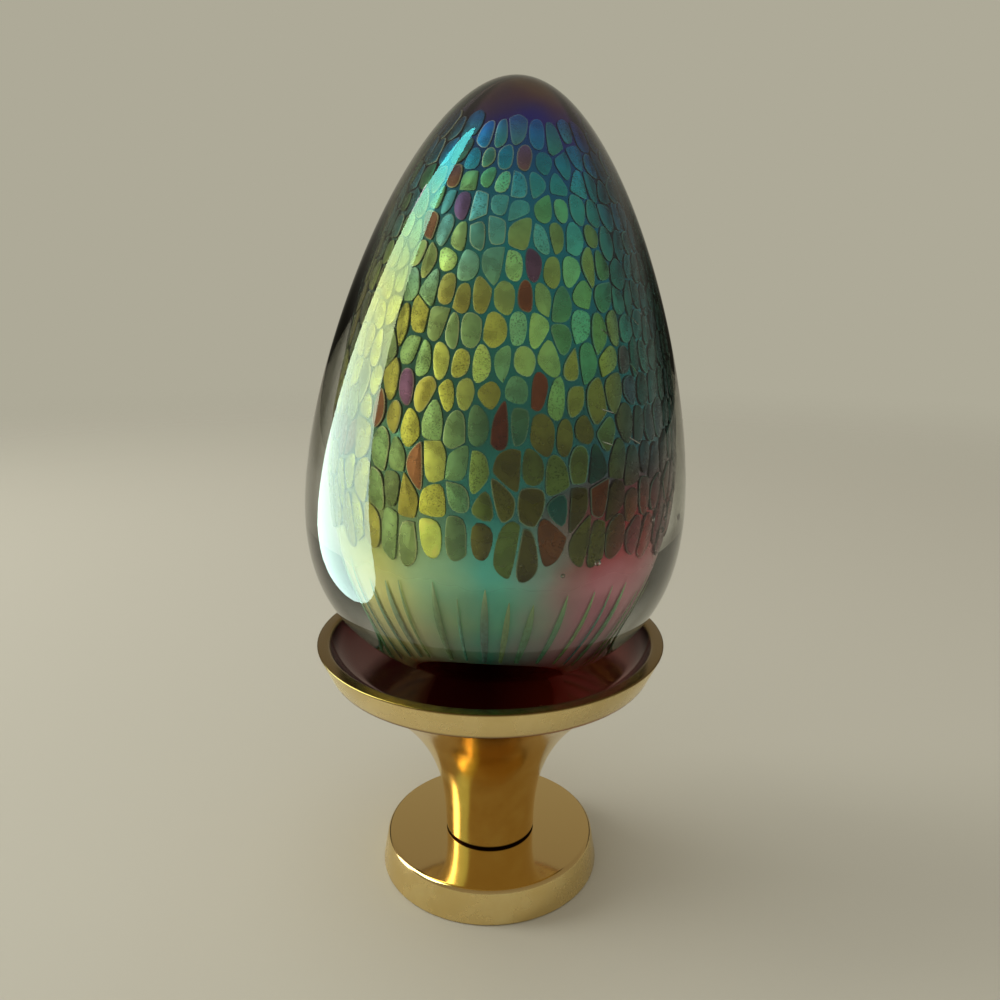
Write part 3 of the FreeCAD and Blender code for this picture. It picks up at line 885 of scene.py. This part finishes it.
def brass(look):
    material, tree, shader = startMaterial(look["name"])
    setShader(shader, Metallic=1.0)
    place = addNode(tree, "TexCoord", output="Object")
    cloud = addNode(tree, "TexNoise", {
        "Vector": place, "Scale": perMm(tarnish["cloudMm"]), "Detail": 5.0, "Roughness": 0.6
    })
    colour = addNode(tree, "ValToRGB", {"stops": look["colours"], "Fac": cloud})
    smoothest, roughest = tarnish["spread"]
    rough = addNode(tree, "MapRange", {
        "Value": cloud, **between(*tarnish["clouds"]),
        "To Min": look["roughness"] * smoothest, "To Max": look["roughness"] * roughest,
    })
    across = addNode(tree, "SeparateXYZ", {"Vector": place}, "X")
    height = across.node.outputs["Z"]
    level = addNode(tree, "VectorMath", {"operation": "MULTIPLY", 0: place, 1: (1, 1, 0)})
    radius = addNode(tree, "VectorMath", {"operation": "LENGTH", 0: level})
    finishes = []
    for zone in look["zones"]:
        inZone = addNode(tree, "MapRange", {
            "Value": height if zone["along"] == "Z" else radius,
            **between(zone["start"] * mm, (zone["start"] + zone["fade"]) * mm),
        })
        # patches along X: in the dish's hollow these are painted ruby light
        if "across" in zone:
            reach = stand["rimRadius"]
            share = addNode(tree, "MapRange", {"Value": across, **between(-reach * mm, reach * mm)})
            stops = [((x + reach) / (2 * reach), patch) for x, patch in zone["across"]]
            zoneColour = addNode(tree, "ValToRGB", {"stops": stops, "Fac": share})
            metal = addNode(tree, "MapRange", {"Value": inZone, "To Min": 1.0, "To Max": zone["metallic"]})
            setShader(shader, Metallic=metal)
        else:
            zoneColour = srgb(zone["colour"])
        finishes.append((inZone, zoneColour, zone["roughness"]))
    # small tarnish spots, each in a random place
    spots = addNode(tree, "TexVoronoi", {"Vector": place, "Scale": perMm(tarnish["spotMm"])})
    picked = addNode(tree, "SeparateColor", {"Color": spots.node.outputs["Color"]})
    chosen = addNode(tree, "Math", {"operation": "GREATER_THAN", 0: picked, 1: tarnish["spotShare"]})
    small = addNode(tree, "MapRange", {
        "Value": spots, **between(tarnish["spotRadius"], tarnish["spotRadius"] / 2)
    })
    spotted = addNode(tree, "Math", {"operation": "MULTIPLY", 0: chosen, 1: small})
    finishes.append((spotted, srgb(tarnish["colour"]), tarnish["roughness"]))
    for share, other, otherRough in finishes:
        colour = addNode(tree, "Mix", {"data_type": "RGBA", "Factor": share, "A": colour, "B": other})
        rough = addNode(tree, "Mix", {"data_type": "FLOAT", "Factor": share, "A": rough, "B": otherRough})
    # turning marks run round the piece, as rings on flat faces and up its walls
    outAndUp = addNode(tree, "Math", {"operation": "ADD", 0: radius, 1: height})
    line = addNode(tree, "CombineXYZ", {"X": outAndUp})
    marks = addNode(tree, "TexNoise", {"Vector": line, "Scale": perMm(look["marksMm"]), "Detail": 4.0})
    bump = addNode(tree, "Bump", {"Height": marks, "Distance": look["marksDepthMm"] * mm, "Strength": 1.0})
    setShader(shader, Base_Color=colour, Roughness=rough, Normal=bump)
    return material


def makeBase():
    s = stand
    outline = [
        (s["hole"], s["recessDepth"]), (s["recessRadius"], s["recessDepth"]), (s["recessRadius"], 0),
        (s["baseFootRadius"], 0), (s["baseTopRadius"], s["baseHeight"]), (s["hole"], s["baseHeight"]),
    ]
    bm = spun(outline, s["steps"], closed=True)
    roundRing(bm, s["baseTopRadius"], s["baseHeight"], s["baseTopRound"], segments=5)
    roundRing(bm, s["baseFootRadius"], 0, s["baseFootRound"], segments=3)
    makePiece("base_brass_disc", bm, "stand", brass(brassFinish["base"]), standPlace, ["base"])


def makeStem():
    s = stand
    under = s["baseHeight"] + s["stemHeight"]
    low = s["baseHeight"] + s["stemFootEdge"]
    growth = s["stemMouthRadius"] - s["stemFootRadius"]
    flare = []
    for i in range(s["flarePoints"] + 1):
        share = i / s["flarePoints"]
        open_ = s["earlyFlare"] * share + (1 - s["earlyFlare"]) * share ** s["flarePower"]
        flare.append((s["stemFootRadius"] + growth * open_, low + (under - low) * share))
    inside = [
        (s["socketRadius"], under), (s["socketRadius"], under - s["socketDepth"]),
        (s["bossHole"], under - s["socketDepth"]), (s["bossHole"], under - s["bossDepth"]),
        (s["hole"], under - s["bossDepth"]), (s["hole"], s["baseHeight"]),
        (s["stemFootRadius"] - s["stemFootEdge"], s["baseHeight"]),
    ]
    bm = spun(flare + inside, s["steps"], closed=True)
    material = brass(brassFinish["stem"])
    makePiece("stem_brass_trumpet", bm, "stand", material, standPlace, ["stem"], crease=30)


def makeDish():
    s = stand
    under = s["baseHeight"] + s["stemHeight"]
    rim = under + s["dishWallHeight"]
    floor = under - s["floorSink"]
    edgeDrop = s["floorCurve"] - math.sqrt(s["floorCurve"] ** 2 - s["floorEdgeRadius"] ** 2)
    floorEdge = Vector((s["floorEdgeRadius"], floor + edgeDrop))
    rimInside = Vector((s["rimRadius"] - s["rimWidth"], rim))
    chord = rimInside - floorEdge
    outward = Vector((chord.y, -chord.x)).normalized()
    wall = []
    for i in range(1, s["wallPoints"]):
        share = i / s["wallPoints"]
        bow = 4 * share * (1 - share) * s["wallBow"] * chord.length
        wall.append(tuple(rimInside - chord * share + outward * bow))
    hollow = []
    for i in range(s["floorPoints"]):
        radius = s["floorEdgeRadius"] * (1 - i / s["floorPoints"])
        hollow.append((radius, floor + s["floorCurve"] - math.sqrt(s["floorCurve"] ** 2 - radius ** 2)))
    spigotLow = under - s["spigotDepth"]
    bossLow = spigotLow - s["bossLength"]
    outline = [
        (0, bossLow + s["tapDepth"]), (s["tapRadius"], bossLow + s["tapDepth"]), (s["tapRadius"], bossLow),
        (s["bossRadius"], bossLow), (s["bossRadius"], spigotLow), (s["spigotRadius"], spigotLow),
        (s["spigotRadius"], under), (s["dishLowerRadius"], under), (s["rimRadius"], rim), tuple(rimInside),
    ] + wall + hollow + [(0, floor)]
    bm = spun(outline, s["steps"])
    roundRing(bm, s["rimRadius"], rim, s["rimRound"], segments=4)
    roundRing(bm, s["rimRadius"] - s["rimWidth"], rim, s["rimRound"], segments=4)
    roundRing(bm, s["dishLowerRadius"], under, s["lowerRound"], segments=3)
    makePiece("dish_brass_bowl", bm, "stand", brass(brassFinish["dish"]), standPlace, ["dish"])
    print("stand made")


# Zinc plated steel, cold headed: pale grey, lightly clouded

steel = {"colours": [(0.3, "#a8aaa8"), (0.7, "#c6c8c4")], "cloudMm": 1.5, "roughness": 0.32}


def plateSteel():
    material, tree, shader = startMaterial("Zinc plated steel cold headed")
    place = addNode(tree, "TexCoord", output="Object")
    cloud = addNode(tree, "TexNoise", {"Vector": place, "Scale": perMm(steel["cloudMm"]), "Detail": 3.0})
    colour = addNode(tree, "ValToRGB", {"stops": steel["colours"], "Fac": cloud})
    setShader(shader, Base_Color=colour, Metallic=1.0, Roughness=steel["roughness"])
    return material


# Studio: a matt painted board, even and without gloss, two softboxes and a card

studio = {
    "floorRadius": 3.0,
    "floorColour": "#c2bfae",
    "floorFade": (0.25, 0.95),  # metres from the middle where the floor fades into the background
    "backColour": "#aeaa98",
    "frontColour": "#968f82",  # what glass and metal mirror of the darker side behind the camera
    "brightWay": (0, 0.8, -0.6),  # the pale side lies this way, the dim one the other
    "brightReach": (-0.1, 0.7),
    "flagColour": "#2c2a22",  # dark flags behind, left and right, deepen the edges of glass and brass
    "flagWays": ((0.625, 0.755, -0.2), (-0.625, 0.755, -0.2)),
    "flagReach": (0.80, 0.95),
    "fillColour": "#fff8ee",
    "worldFill": 0.40,
    "softboxes": {
        "tall_softbox": {
            "power": 4.6, "size": (0.3, 0.8), "place": (-0.80, 0.10, 0.36), "target": (0, 0, 0.09),
            "mirrored": True,
        },
        "overhead_softbox": {
            "power": 6.5, "size": (1.8, 1.4), "place": (-0.2, 0.0, 1.2), "target": (0, 0, 0.05),
            "mirrored": False,
        },
    },
    # a pale card that only mirrors see, for the bright streak down the left of the glass
    "streak": {
        "across": -0.06,  # how far along X it stands
        "corners": [
            (0.006, 0.062), (-0.005, 0.044), (-0.022, 0.036), (-0.038, 0.044), (-0.044, 0.062),
            (-0.034, 0.11), (-0.010, 0.268), (0.006, 0.268), (-0.004, 0.10),
        ],
        "rise": (0.05, 0.25),
        "colours": [
            (0.0, "#d4f6ec"), (0.25, "#d8f6e4"), (0.45, "#ecfaac"), (0.62, "#a8f8d4"), (0.76, "#70ffff"),
        ],
        "depths": (1.4, 1.6),  # of a ray that a first or a second mirror has turned
        "glow": 9.0,
        "glowAgain": 1.0,  # as seen by way of a second mirror, or it would glare in the stem
    },
}


def addStage(name, bm, material):
    stage = meshObject(name, bm, material)
    return stage


def makeWorld():
    world = bpy.data.worlds.new("Studio")
    bpy.context.scene.world = world
    world.use_nodes = True
    tree = world.node_tree
    rays = addNode(tree, "LightPath").node.outputs
    seen = rays["Is Camera Ray"]
    for other in ("Is Glossy Ray", "Is Transmission Ray"):
        seen = addNode(tree, "Math", {"operation": "MAXIMUM", 0: seen, 1: rays[other]})
    towards = addNode(tree, "TexCoord", output="Generated")

    def shareTowards(way, reach):
        along = addNode(tree, "VectorMath", {"operation": "DOT_PRODUCT", 0: towards, 1: way})
        return addNode(tree, "MapRange", {
            "interpolation_type": "SMOOTHSTEP", "Value": along, **between(*reach)
        })

    behind = shareTowards(studio["brightWay"], studio["brightReach"])
    either = addNode(tree, "Math", {"operation": "MAXIMUM", 0: behind, 1: rays["Is Camera Ray"]})
    colour = addNode(tree, "Mix", {
        "data_type": "RGBA", "Factor": either, "A": srgb(studio["frontColour"]),
        "B": srgb(studio["backColour"]),
    })
    left, right = [shareTowards(way, studio["flagReach"]) for way in studio["flagWays"]]
    flag = addNode(tree, "Math", {"operation": "MAXIMUM", 0: left, 1: right})
    mirroredOnly = addNode(tree, "Math", {
        "operation": "SUBTRACT", "use_clamp": True, 0: flag, 1: rays["Is Camera Ray"]
    })
    colour = addNode(tree, "Mix", {
        "data_type": "RGBA", "Factor": mirroredOnly, "A": colour, "B": srgb(studio["flagColour"])
    })
    fill = addNode(tree, "Background", {"Color": srgb(studio["fillColour"]), "Strength": studio["worldFill"]})
    back = addNode(tree, "Background", {"Color": colour, "Strength": 1.0})
    mixed = addNode(tree, "MixShader", {0: seen, 1: fill, 2: back})
    tree.links.new(mixed, tree.nodes["World Output"].inputs["Surface"])


def makeFloor():
    material, tree, shader = startMaterial("Matt painted board")
    setShader(shader, Base_Color=srgb(studio["floorColour"]), Roughness=0.8, Specular_IOR_Level=0.2)
    place = addNode(tree, "TexCoord", output="Object")
    fade = addNode(tree, "MapRange", {
        "interpolation_type": "SMOOTHSTEP", **between(*studio["floorFade"]),
        "Value": addNode(tree, "VectorMath", {"operation": "LENGTH", 0: place}),
    })
    camera = addNode(tree, "LightPath", output="Is Camera Ray")
    share = addNode(tree, "Math", {"operation": "MULTIPLY", 0: fade, 1: camera})
    clear = addNode(tree, "BsdfTransparent")
    showSurface(tree, addNode(tree, "MixShader", {0: share, 1: shader.outputs["BSDF"], 2: clear}))
    bm = bmesh.new()
    bmesh.ops.create_circle(bm, cap_ends=True, radius=studio["floorRadius"], segments=96)
    addStage("floor", bm, material)


def makeLamps():
    for name, box in studio["softboxes"].items():
        data = bpy.data.lights.new(name, "AREA")
        data.shape = "RECTANGLE"
        data.size, data.size_y = box["size"]
        data.energy = box["power"]
        lamp = bpy.data.objects.new(name, data)
        lamp.location = box["place"]
        aim = Vector(box["target"]) - Vector(box["place"])
        lamp.rotation_euler = aim.to_track_quat("-Z", "Y").to_euler()
        lamp.visible_glossy = box["mirrored"]
        lamp.visible_transmission = False
        bpy.context.scene.collection.objects.link(lamp)


def makeStreak():
    card = studio["streak"]
    material, tree, shader = startMaterial("Studio streak card")
    depth = addNode(tree, "LightPath", output="Ray Depth")
    glow = addNode(tree, "MapRange", {
        "Value": depth, **between(*card["depths"]), "To Min": card["glow"], "To Max": card["glowAgain"]
    })
    place = addNode(tree, "TexCoord", output="Object")
    rise = addNode(tree, "MapRange", {
        "Value": addNode(tree, "SeparateXYZ", {"Vector": place}, "Z"), **between(*card["rise"])
    })
    colour = addNode(tree, "ValToRGB", {"stops": card["colours"], "Fac": rise})
    setShader(shader, Base_Color=srgb("#000000"), Roughness=1.0)
    setShader(shader, Emission_Color=colour, Emission_Strength=glow)
    bm = bmesh.new()
    bm.faces.new([bm.verts.new((card["across"], *corner)) for corner in roundedCell(card["corners"])])
    stage = addStage("streak_card", bm, material)
    for rays in ("camera", "diffuse", "transmission", "shadow"):
        setattr(stage, "visible_" + rays, False)


def makeStudio():
    makeWorld()
    makeFloor()
    makeLamps()
    makeStreak()
    bpy.context.scene.view_settings.view_transform = "Standard"
    print("studio made")


# Camera, as the photograph was taken

cameraFacts = {
    "position": (0.0, -0.15996, 0.12010), "pitch": 14.25, "yaw": 0.616, "roll": 0.388,
    "lens": 30.14,
}


def makeCamera():
    data = bpy.data.cameras.new("camera")
    data.lens = cameraFacts["lens"]
    data.clip_start = 0.01
    camera = bpy.data.objects.new("camera", data)
    bpy.context.scene.collection.objects.link(camera)
    pitch, yaw, roll = (math.radians(cameraFacts[k]) for k in ("pitch", "yaw", "roll"))
    camera.matrix_world = (
        Matrix.Translation(cameraFacts["position"])
        @ Matrix.Rotation(-yaw, 4, "Z")
        @ Matrix.Rotation(math.pi / 2 - pitch, 4, "X")
        @ Matrix.Rotation(roll, 4, "Z")
    )
    bpy.context.scene.camera = camera


makeCamera()
makeStudio()
makeBase()
makeStem()
makeDish()
for name in ("tie_screw", "washer"):
    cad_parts[name].data.materials.clear()
    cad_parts[name].data.materials.append(plateSteel())
makeCore()
makeLustre()
makeThreads()
makeFlakes()
makeSeeds()
makeCasing()

bpy.context.view_layer.update()
